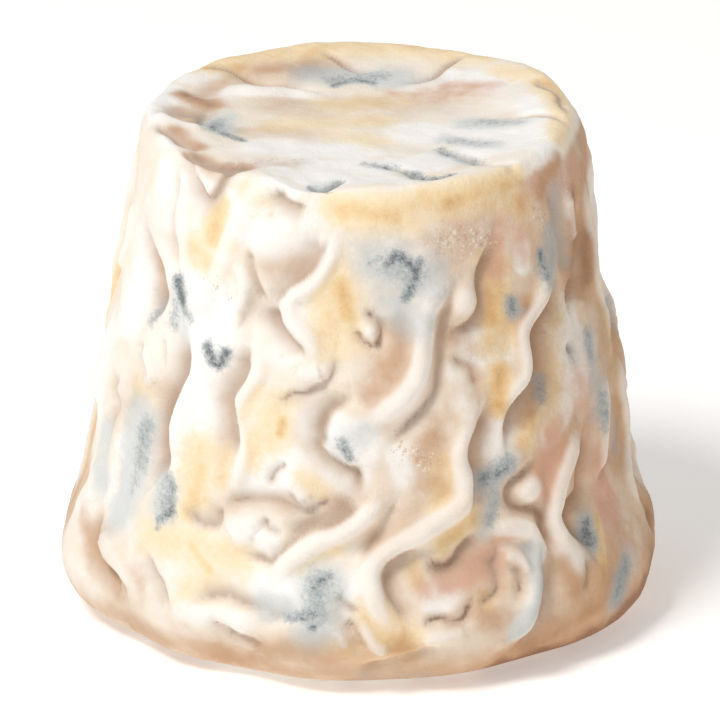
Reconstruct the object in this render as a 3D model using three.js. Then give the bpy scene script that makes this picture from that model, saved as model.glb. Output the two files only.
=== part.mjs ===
// A small ripened goat's cheese in millimetres: a blunt cone of soft paste, wider at its foot,
// with a wrinkled rind all over. It is one solid, +Z up, standing on the middle of its flat
// underside, and its shown side faces -Y.
import * as THREE from 'three';

// Driving dimensions
const HEIGHT = 57;
const FOOT_RADIUS = 33;
const FOOT_HEIGHT = 6.5;
const REST_RADIUS = 25.5;
const TOP_RADIUS = 25;
const RIM_RADIUS = 22.2;
const RIM_RISE = 1.8;

// The rim is rounded: how far its edge lies outside its radius and below its crest, and how far
// inside its radius the crest lies
const RIM_OUTSIDE = 0.9;
const RIM_DROP = 0.15;
const RIM_INSIDE = 0.6;

// How finely the solid is cut into faces
const SIDES = 112;
const SIDE_ROWS = 33;
const TOP_RINGS = 9;

// How far relief stays off the flat underside, and where it reaches its full height
const REST_CLEARANCE = 0.8;
const RELIEF_START = 4;

// The usual width and height of a fold in the rind, as half widths and rises
const RIDGE = { rise: 1.1, half: 2.1 };
const CREASE = { rise: -1.1, half: 1.7 };

const RIND_COLOUR = 0xf2e4cf;

// The smooth body's outline from the edge of its underside up to the middle of its top
function makeOutline() {
  const bulge = (share, height) => new THREE.Vector2(
    THREE.MathUtils.lerp(TOP_RADIUS, FOOT_RADIUS, share), height);
  const side = new THREE.SplineCurve([
    new THREE.Vector2(REST_RADIUS, 0),
    bulge(0.53, 0.12 * FOOT_HEIGHT),
    bulge(0.83, 0.4 * FOOT_HEIGHT),
    bulge(1, FOOT_HEIGHT),
    bulge(0.9, 1.65 * FOOT_HEIGHT),
    bulge(0.68, 0.3 * HEIGHT),
    bulge(0.53, 0.48 * HEIGHT),
    bulge(0.2, 0.73 * HEIGHT),
    bulge(-0.03, 0.92 * HEIGHT),
    bulge(-0.13, 0.975 * HEIGHT),
    new THREE.Vector2(RIM_RADIUS + RIM_OUTSIDE, HEIGHT - RIM_DROP),
  ]);
  const top = new THREE.SplineCurve([
    new THREE.Vector2(RIM_RADIUS + RIM_OUTSIDE, HEIGHT - RIM_DROP),
    new THREE.Vector2(RIM_RADIUS - RIM_INSIDE, HEIGHT),
    new THREE.Vector2(0.84 * RIM_RADIUS, HEIGHT - 0.34 * RIM_RISE),
    new THREE.Vector2(0.5 * RIM_RADIUS, HEIGHT - 0.85 * RIM_RISE),
    new THREE.Vector2(0, HEIGHT - RIM_RISE),
  ]);
  return [
    new THREE.Vector2(0, 0),
    ...side.getSpacedPoints(SIDE_ROWS),
    ...top.getSpacedPoints(TOP_RINGS).slice(1),
  ];
}

const OUTLINE = makeOutline();
OUTLINE[OUTLINE.length - 1].x = 0;

// A point of the smooth side, by degrees round from the shown front and height above the floor
function onSide([degrees, height]) {
  const rows = OUTLINE.slice(1, SIDE_ROWS + 2);
  const above = Math.max(1, rows.findIndex((row) => row.y >= height));
  const share = (height - rows[above - 1].y) / (rows[above].y - rows[above - 1].y);
  const radius = THREE.MathUtils.lerp(rows[above - 1].x, rows[above].x, share);
  const turn = THREE.MathUtils.degToRad(degrees);
  return new THREE.Vector3(radius * Math.sin(turn), -radius * Math.cos(turn), height);
}

// A point of the smooth top, by its place in plan
function onTop([x, y]) {
  const rings = OUTLINE.slice(SIDE_ROWS + 1);
  const radius = Math.hypot(x, y);
  const inside = Math.max(1, rings.findIndex((ring) => ring.x <= radius));
  const share = (rings[inside - 1].x - radius) / (rings[inside - 1].x - rings[inside].x);
  return new THREE.Vector3(x, y, THREE.MathUtils.lerp(rings[inside - 1].y, rings[inside].y, share));
}

// Broad swellings and hollows that make the outline uneven: degrees round, height, rise, reach
const LUMPS = [
  [-92, 33, 0.3, 7],
  [-92, 24, -1.4, 6],
  [-92, 13, -0.9, 4.5],
  [-90, 46, -0.9, 7],
  [-90, 38, -0.9, 5],
  [92, 37, -1.4, 5.5],
  [92, 27, 0.9, 6],
  [92, 18, -0.9, 5],
  [-74, 4, 1.1, 9],
  [-52, 2, -0.6, 6],
  [-37, 4, 0.6, 7],
  [-25, 2, -1.8, 6],
  [-7, 4, 0.7, 8],
  [5, 2, -0.7, 5],
  [20, 4, 0.7, 7],
  [38, 2, -0.4, 5],
  [50, 3, 1.2, 8],
  [70, 4, 1.2, 9],
  [-28, 55, 0.4, 6],
  [55, 54, 0.5, 8],
  [0, 56.8, -0.7, 10],
  [-13, 56.8, -1.5, 3.6],
  [-50, 56.8, -0.9, 7],
  [50, 56.8, -0.8, 9],
  [-112, 56, -0.5, 6],
  [-150, 56, -0.4, 6],
  [120, 56, 0.6, 5],
  [160, 56.8, -0.4, 6],
  [98, 53, 0.8, 5],
];

// Folds of the shown side, each a line of points: degrees round from the front, and height
const FRONT_RIDGES = [
  [[24, 46], [19, 44], [15.5, 41], [14, 36.5], [10.5, 34], [2, 31]],
  [[5, 23], [0, 20], [-6.5, 18], [-14.5, 15.5], [-18.5, 14]],
  [[25, 32], [22.5, 27], [23, 22.5], [16, 19.5], [7, 17], [3, 13]],
  [[54, 26], [48, 21], [44.5, 17], [48, 13]],
  [[53, 45], [46, 40.5], [41.5, 38], [40.5, 33.5], [34, 30.5]],
  [[-5.5, 52], [-10, 47.5], [-17, 44], [-13.5, 41], [-10, 38]],
  [[-30, 47.5], [-27.5, 44], [-29, 41.5]],
  [[-66, 52], [-57, 47], [-48, 42.5]],
  [[-24, 38], [-25.5, 34], [-27.5, 31], [-25.5, 27], [-27, 22]],
  [[-72, 34.5], [-77, 30], [-80, 24]],
  [[-72, 19], [-70, 14]],
  [[-62, 12.5], [-56, 10.5], [-50, 8]],
  [[27, 17.5], [35.5, 17.5], [39.5, 14], [38, 11], [33, 7], [28.5, 6]],
  [[68, 51], [65.5, 45.5]],
  [[79, 51], [77, 47], [79.5, 43.5], [78, 40], [80, 36], [77.5, 32]],
  [[82, 30], [78, 26], [80, 21], [76, 15.5], [79, 12]],
  [[-79, 48], [-77, 44], [-80, 40]],
];
const FRONT_CREASES = [
  [[-66.5, 48.5], [-58, 45], [-53, 43], [-53, 41], [-56.5, 38]],
  [[-28, 49], [-24, 44.5], [-18, 44.5], [-10.5, 48], [-7, 51]],
  [[-19, 43.5], [-17.5, 40.5], [-12, 38]],
  [[-5.5, 38], [-6, 36], [-10, 35], [-19, 33]],
  [[-26, 39], [-26.5, 35.5], [-28.5, 31.5], [-28, 25.5]],
  [[-44, 37.5], [-42, 34], [-46, 27], [-48.5, 21]],
  [[-66, 30], [-67, 26], [-69, 20.5]],
  [[-67, 14], [-64, 10.5], [-52.5, 8]],
  [[-41.5, 17], [-37, 19], [-32, 17.5], [-24.5, 21.5], [-15, 23], [-5.5, 22]],
  [[0.5, 22], [-6, 19.5], [-12.5, 18], [-18, 15], [-23.5, 15]],
  [[-1.5, 34.5], [-6.5, 31.5], [-8, 28.5], [-2, 26], [0.5, 23]],
  [[-33.5, 9.5], [-26, 10.5], [-17, 8.5], [-11.5, 11]],
  [[22, 45], [19.5, 41], [18, 36], [12, 31.5], [4.5, 27]],
  [[36, 49], [31, 46], [30.5, 43], [21, 40.5]],
  [[55, 43.5], [48, 39.5], [44, 37], [43, 33.5], [36, 29.5], [34, 26.5]],
  [[73, 48], [66.5, 43], [60, 39]],
  [[58, 26], [53, 19], [48, 16], [53.5, 13]],
  [[40.5, 24.5], [34.5, 22], [37, 20], [42.5, 14.5]],
  [[27, 30.5], [24.5, 27], [25, 21]],
  [[26.5, 19], [21.5, 17], [16.5, 15], [10, 16.5], [5.5, 13.5], [7.5, 10.5], [11.5, 8.5]],
  [[13, 8.5], [18.5, 9], [24.5, 11]],
  [[39, 10.5], [37, 7], [30, 4]],
  [[84, 49], [82.5, 45], [85, 41]],
  [[84, 35], [82, 30.5], [85, 26], [83, 22]],
  [[83, 15], [85, 11], [82, 8]],
  [[-84, 48], [-82, 43], [-85, 38.5]],
  [[-85, 32], [-83, 27.5], [-85, 23]],
  [[-82, 17], [-84, 12.5], [-81, 9]],
];

// Folds of the top, each a line of points in plan
const TOP_CREASES = [
  [[-17.5, 14.5], [-13.5, 14.5], [-9.5, 11.5], [-5, 10.5]],
  [[12.5, 18.5], [9.5, 16], [5.5, 13]],
  [[20, 9.5], [22, 6], [22.5, 2.5]],
  [[9, -7.5], [12.5, -11.5], [14.5, -15], [17, -16]],
  [[2.5, -13], [6, -17], [8, -19.3], [10.5, -18]],
  [[-22, -4], [-20, -6.5], [-17.5, -9.5]],
  [[-18, -13], [-16, -17.5], [-13, -16.5]],
  [[-20.5, 1.5], [-17.5, 2.5]],
];

// The side that the front hides carries folds of the same kind, drawn by a rule: two tiers of
// ridges that wander upwards, a crease beside each, spread evenly round with seeded uneven steps
const BACK = {
  seed: 41,
  from: 92,
  to: 268,
  tiers: [[6, 30, 10], [27, 53, 9]],
  rise: 6.5,
  sway: 4.5,
  gap: 4.6,
  lobes: 6,
  lobe: { seed: 7, height: 4, rise: 0.8, reach: 8 },
  notch: { height: 2, rise: -0.8, reach: 6 },
};

// Draws in 0 to 1 that come out the same each time
function makeDraw(seed) {
  let state = seed;
  return () => {
    state = (state * 1664525 + 1013904223) % 4294967296;
    return state / 4294967296;
  };
}

function backFolds() {
  const draw = makeDraw(BACK.seed);
  const ridges = [];
  const creases = [];
  for (const [low, high, count] of BACK.tiers) {
    const step = (BACK.to - BACK.from) / count;
    for (let i = 0; i < count; i += 1) {
      const middle = BACK.from + (i + 0.3 + 0.4 * draw()) * step;
      const bottom = low + 7 * draw();
      const top = high - 7 * draw();
      const rows = Math.round((top - bottom) / BACK.rise);
      const line = [];
      for (let row = 0; row <= rows; row += 1) {
        const degrees = middle + BACK.sway * (2 * draw() - 1);
        line.push([degrees, THREE.MathUtils.lerp(bottom, top, row / rows)]);
      }
      const beside = BACK.gap * (draw() < 0.5 ? -1 : 1);
      ridges.push(line);
      creases.push(line.slice(0, -1).map(([degrees, height]) => [degrees + beside, height]));
    }
  }
  return { ridges, creases };
}

// The foot's lobes on that side, with a notch after each
function backLobes() {
  const draw = makeDraw(BACK.lobe.seed);
  const step = (BACK.to - BACK.from) / BACK.lobes;
  const lumps = [];
  for (let i = 0; i < BACK.lobes; i += 1) {
    const degrees = BACK.from + (i + 0.2 + 0.3 * draw()) * step;
    const { lobe, notch } = BACK;
    lumps.push([degrees, lobe.height, lobe.rise * (0.6 + 0.6 * draw()), lobe.reach]);
    lumps.push([degrees + 0.5 * step, notch.height, notch.rise * (0.6 + 0.6 * draw()), notch.reach]);
  }
  return lumps;
}

// A fold ready to be measured from: points close together along a smooth line
function makeFold(points, place, { rise, half }) {
  const line = new THREE.CatmullRomCurve3(points.map(place));
  const count = Math.max(8, Math.round(line.getLength() / 0.8));
  const samples = line.getSpacedPoints(count);
  return { samples, rise, half, box: new THREE.Box3().setFromPoints(samples).expandByScalar(4 * half) };
}

// How far a fold lifts the surface at a point: a round cross section, dying away at both ends
function lift(fold, point) {
  if (!fold.box.containsPoint(point)) {
    return 0;
  }
  let nearest = Infinity;
  let place = 0;
  fold.samples.forEach((sample, index) => {
    const distance = sample.distanceTo(point);
    if (distance < nearest) {
      nearest = distance;
      place = index / (fold.samples.length - 1);
    }
  });
  const ends = Math.min(1, 0.3 + 4.5 * Math.min(place, 1 - place));
  return fold.rise * ends * Math.exp(-((nearest / fold.half) ** 2));
}

const back = backFolds();
const FOLDS = [
  ...FRONT_RIDGES.map((points) => makeFold(points, onSide, RIDGE)),
  ...FRONT_CREASES.map((points) => makeFold(points, onSide, CREASE)),
  ...back.ridges.map((points) => makeFold(points, onSide, RIDGE)),
  ...back.creases.map((points) => makeFold(points, onSide, CREASE)),
  ...TOP_CREASES.map((points) => makeFold(points, onTop, { rise: -0.8, half: 1.4 })),
];

const SWELLINGS = [...LUMPS, ...backLobes()].map(([degrees, height, rise, reach]) => (
  { centre: onSide([degrees, height]), rise, reach }));

// Turns the smooth body of revolution into the uneven one
function relieve(geometry) {
  const position = geometry.attributes.position;
  const normal = geometry.attributes.normal;
  const point = new THREE.Vector3();
  const outward = new THREE.Vector3();
  for (let i = 0; i < position.count; i += 1) {
    point.fromBufferAttribute(position, i);
    outward.fromBufferAttribute(normal, i);
    const radius = Math.hypot(point.x, point.y);
    const onRest = point.z < REST_CLEARANCE;
    if (radius < REST_RADIUS - 1 && onRest) {
      continue;
    }
    if (radius < 1) {
      outward.set(0, 0, 1);
    }
    const swell = SWELLINGS.reduce((sum, { centre, rise, reach }) => (
      sum + rise * Math.exp(-((centre.distanceTo(point) / reach) ** 2))), 0);
    const lifts = FOLDS.map((fold) => lift(fold, point));
    const folds = Math.max(0, ...lifts) + Math.min(0, ...lifts);
    const fade = THREE.MathUtils.smoothstep(point.z, REST_CLEARANCE, RELIEF_START);
    outward.z *= fade;
    point.addScaledVector(outward, swell + fade * folds);
    position.setXYZ(i, point.x, point.y, onRest ? position.getZ(i) : Math.max(point.z, 0.1));
  }
}

function makeCheese() {
  const geometry = new THREE.LatheGeometry(OUTLINE, SIDES);
  geometry.rotateX(Math.PI / 2);
  relieve(geometry);
  geometry.computeBoundingBox();
  const middle = geometry.boundingBox.getCenter(new THREE.Vector3());
  geometry.translate(-middle.x, -middle.y, 0);
  const rind = new THREE.MeshStandardMaterial({ color: RIND_COLOUR, roughness: 0.85, metalness: 0 });
  const mesh = new THREE.Mesh(geometry, rind);
  mesh.name = 'cheese';
  return mesh;
}

const cheese = new THREE.Group();
cheese.add(makeCheese());

export default cheese;
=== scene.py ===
import math

import bmesh
import bpy
import numpy as np
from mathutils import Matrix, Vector, noise


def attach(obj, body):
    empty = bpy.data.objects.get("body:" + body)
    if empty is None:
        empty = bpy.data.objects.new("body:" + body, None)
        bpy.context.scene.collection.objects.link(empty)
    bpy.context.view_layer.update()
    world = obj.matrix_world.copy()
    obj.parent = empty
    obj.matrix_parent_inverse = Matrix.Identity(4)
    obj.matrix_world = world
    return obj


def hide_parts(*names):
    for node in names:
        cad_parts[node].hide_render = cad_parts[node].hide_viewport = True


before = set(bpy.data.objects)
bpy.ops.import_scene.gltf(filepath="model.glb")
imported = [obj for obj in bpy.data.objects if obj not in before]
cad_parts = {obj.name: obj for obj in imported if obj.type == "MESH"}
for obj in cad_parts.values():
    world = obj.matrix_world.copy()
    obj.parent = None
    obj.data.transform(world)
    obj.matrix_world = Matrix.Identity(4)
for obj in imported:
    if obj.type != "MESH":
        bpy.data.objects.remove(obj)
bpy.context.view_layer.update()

# The cheese
# A small blunt cone of soft goat's paste, drained in a mould and ripened until its rind
# wrinkled and bloomed with mould. Paste and rind are one piece, so one closed mesh holds it all.

MM = 0.001
HEIGHT = 57.0
FOOT_RADIUS = 33.0
FOOT_HEIGHT = 6.5
REST_RADIUS = 25.5
TOP_RADIUS = 25.0
RIM_RADIUS = 22.2
RIM_RISE = 1.8
RIM_OUTSIDE = 0.9
RIM_DROP = 0.15
RIM_INSIDE = 0.6
OUTLINE_STEP = 0.2


def smooth_line(points, step):
    """Points about a step apart along a smooth curve through given ones."""
    points = np.asarray(points, dtype=float)
    if len(points) == 1:
        return points
    padded = np.vstack([points[0], points, points[-1]])
    t = np.linspace(0, 1, 12, endpoint=False)[:, None]
    stretches = []
    for a, b, c, d in zip(padded, padded[1:], padded[2:], padded[3:]):
        lean_b, lean_c = (c - a) / 2, (d - b) / 2
        stretches.append(b + lean_b * t + (3 * (c - b) - 2 * lean_b - lean_c) * t**2
                         + (2 * (b - c) + lean_b + lean_c) * t**3)
    fine = np.vstack(stretches + [points[-1:]])
    along = np.concatenate([[0], np.cumsum(np.linalg.norm(np.diff(fine, axis=0), axis=1))])
    even = np.linspace(0, along[-1], max(2, int(along[-1] / step) + 1))
    return np.stack([np.interp(even, along, fine[:, i]) for i in range(fine.shape[1])], axis=1)


def bulge(share, height):
    """A point of the side's outline, by its share of the way from top radius to foot radius."""
    return (TOP_RADIUS + (FOOT_RADIUS - TOP_RADIUS) * share, height)


OUTLINE = smooth_line([
    (REST_RADIUS, 0),
    bulge(0.53, 0.12 * FOOT_HEIGHT),
    bulge(0.83, 0.4 * FOOT_HEIGHT),
    bulge(1, FOOT_HEIGHT),
    bulge(0.9, 1.65 * FOOT_HEIGHT),
    bulge(0.68, 0.3 * HEIGHT),
    bulge(0.53, 0.48 * HEIGHT),
    bulge(0.2, 0.73 * HEIGHT),
    bulge(-0.03, 0.92 * HEIGHT),
    bulge(-0.13, 0.975 * HEIGHT),
    (RIM_RADIUS + RIM_OUTSIDE, HEIGHT - RIM_DROP),
    (RIM_RADIUS - RIM_INSIDE, HEIGHT),
    (0.84 * RIM_RADIUS, HEIGHT - 0.34 * RIM_RISE),
    (0.5 * RIM_RADIUS, HEIGHT - 0.85 * RIM_RISE),
    (0, HEIGHT - RIM_RISE),
], OUTLINE_STEP)
EDGE = np.linalg.norm(OUTLINE - (RIM_RADIUS + RIM_OUTSIDE, HEIGHT - RIM_DROP), axis=1).argmin()
SIDE_OUTLINE, TOP_OUTLINE = OUTLINE[:EDGE + 1], OUTLINE[EDGE:][::-1]

# How finely the cube that becomes the cheese is cut, the share of its underside that stays the
# cheese's underside, and how much closer the mesh's columns stand on the shown side
CUTS = 124
UNDER_SHARE = 0.4
FRONT_PULL = 0.35


def on_side(points):
    """Places on the smooth side, from degrees round from the shown front and heights."""
    degrees, height = np.asarray(points, dtype=float).T
    turn = np.radians(degrees)
    radius = np.interp(height, SIDE_OUTLINE[:, 1], SIDE_OUTLINE[:, 0])
    return np.stack([radius * np.sin(turn), -radius * np.cos(turn), height], axis=1)


def on_top(points):
    """Places on the smooth top and its shoulder, from their places in plan."""
    x, y = np.asarray(points, dtype=float).T
    shoulder = SIDE_OUTLINE[SIDE_OUTLINE[:, 1] > HEIGHT / 2][::-1]
    crown = np.vstack([TOP_OUTLINE, shoulder])
    height = np.interp(np.hypot(x, y), crown[:, 0], crown[:, 1])
    return np.stack([x, y, height], axis=1)


# Broad swellings and hollows that make the outline uneven: degrees round, height, rise, reach
LUMPS = [
    (-92, 33, 0.3, 7), (-92, 24, -1.4, 6), (-92, 13, -0.9, 4.5), (-90, 46, -0.9, 7),
    (-90, 38, -0.9, 5), (92, 37, -1.4, 5.5), (92, 27, 0.9, 6), (92, 18, -0.9, 5), (-74, 4, 1.1, 9),
    (-52, 2, -0.6, 6), (-37, 4, 0.6, 7), (-25, 2, -1.8, 6), (-7, 4, 0.7, 8), (5, 2, -0.7, 5),
    (20, 4, 0.7, 7), (38, 2, -0.4, 5), (50, 3, 1.2, 8), (70, 4, 1.2, 9), (-28, 55, 0.4, 6),
    (55, 54, 0.5, 8), (0, 56.8, -0.7, 10), (-13, 56.8, -1.5, 3.6), (-50, 56.8, -0.9, 7),
    (50, 56.8, -0.8, 9), (-112, 56, -0.5, 6), (-150, 56, -0.4, 6), (120, 56, 0.6, 5),
    (160, 56.8, -0.4, 6), (98, 53, 0.8, 5),
]

# Ridges of the side: half width, rise, and points as degrees round and height
RIDGES = [
    (1.3, 0.9, [(-66, 52), (-63, 49.5), (-57, 47), (-53, 45.5), (-49, 43.5), (-46, 41.5)]),
    (1.0, 0.7, [(-50, 53.5), (-52, 51.3), (-52.7, 49.3), (-50.7, 47)]),
    (1.2, 1.1, [(-5.5, 51.8), (-6.8, 50.4), (-8, 49), (-9.8, 47.3), (-13, 45.7), (-16.3, 44.8),
                (-17, 43.6), (-16, 42.2), (-13.5, 40.9), (-11.2, 39.5), (-10.2, 37.8)]),
    (1.1, 0.9, [(-30, 47.5), (-28, 45.5), (-27.7, 43.5), (-29, 41.5)]),
    (1.1, 0.9, [(-24, 38), (-23, 36), (-25.5, 34), (-27.5, 32), (-27.5, 30), (-25.5, 27),
                (-26, 24), (-27, 22)]),
    (1.2, 0.8, [(-58, 34.5), (-54.5, 32.5), (-52, 31)]),
    (1.5, 0.9, [(-72, 34.5), (-76, 31), (-79, 27), (-80, 24)]),
    (1.3, 0.8, [(-72, 19), (-71, 16.5), (-70, 14)]),
    (1.4, 1.0, [(-62, 12.5), (-58, 11), (-53, 9.5), (-50, 8)]),
    (1.2, 0.7, [(-14, 37), (-11, 36.3), (-8, 36.6)]),
    (1.6, 0.7, [(-41, 34), (-42, 29), (-42, 24)]),
    (1.3, 1.2, [(24, 46), (19, 44.3), (16, 42.5), (15.5, 40.5), (15, 38.5), (13.5, 36), (10.5, 34),
                (6.5, 32.5), (2, 31)]),
    (1.4, 1.1, [(5, 23), (3, 21.5), (0, 20.2), (-3, 19.2), (-6.5, 18.3), (-10.5, 17),
                (-14.5, 15.3), (-18.5, 13.8)]),
    (1.4, 1.2, [(25, 32), (24.5, 29.5), (22.5, 27), (23, 24), (23, 22), (20.5, 20.7), (16, 19.5),
                (11.5, 18.2), (7, 16.9), (4, 15.8), (2.5, 14.5), (3, 13), (4, 10.5), (7, 8.3)]),
    (1.3, 1.1, [(54, 26), (51.5, 23.5), (48, 21), (46, 18.7), (44.3, 17), (45.5, 14.7),
                (48, 12.8)]),
    (1.2, 1.0, [(53, 45), (50, 42.5), (46, 40.5), (41.5, 38.5), (41.5, 35.5), (40.5, 33.5),
                (37, 32.5), (34, 30.5)]),
    (1.2, 1.1, [(27, 17.5), (30, 17.8), (35.5, 17.3), (39, 15.8), (39.5, 13.5), (38, 11.5),
                (35.8, 9.3), (33, 7), (28.5, 6)]),
    (0.9, 0.7, [(31, 14.7), (34.5, 13.7), (36.5, 11.8)]),
    (1.0, 0.6, [(66, 51), (66, 48), (65.5, 45.5)]),
    (1.3, 0.7, [(70, 30), (66, 24), (63, 18)]),
    (0.8, 0.6, [(-4, 8.8), (-2, 6.5)]),
    (0.9, 0.8, [(0, 9.5), (3, 6.8), (6, 6)]),
    (1.0, 0.7, [(12, 7), (17, 7.6), (21, 8)]),
    (1.6, 0.8, [(-38, 9), (-32, 8), (-26, 8.6), (-20, 7.4)]),
    (1.2, 0.6, [(-26, 6), (-20, 4.6)]),
    (2.2, 0.8, [(-28, 17.3), (-24, 18.5), (-21, 18)]),
    (2.0, 0.9, [(25.5, 43.5)]),
    (1.0, 0.8, [(2.9, 41.1)]),
    (1.8, 0.9, [(39, 21.1)]),
    (1.2, 0.7, [(-14, 24.4), (-12.3, 23), (-11.3, 22)]),
    (1.5, 0.9, [(79, 51), (77, 47), (79.5, 43.5), (78, 40), (80, 36), (77.5, 32)]),
    (1.5, 0.9, [(82, 30), (78, 26), (80, 21), (76, 15.5), (79, 12)]),
    (1.3, 0.8, [(-79, 48), (-77, 44), (-80, 40)]),
]

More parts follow.
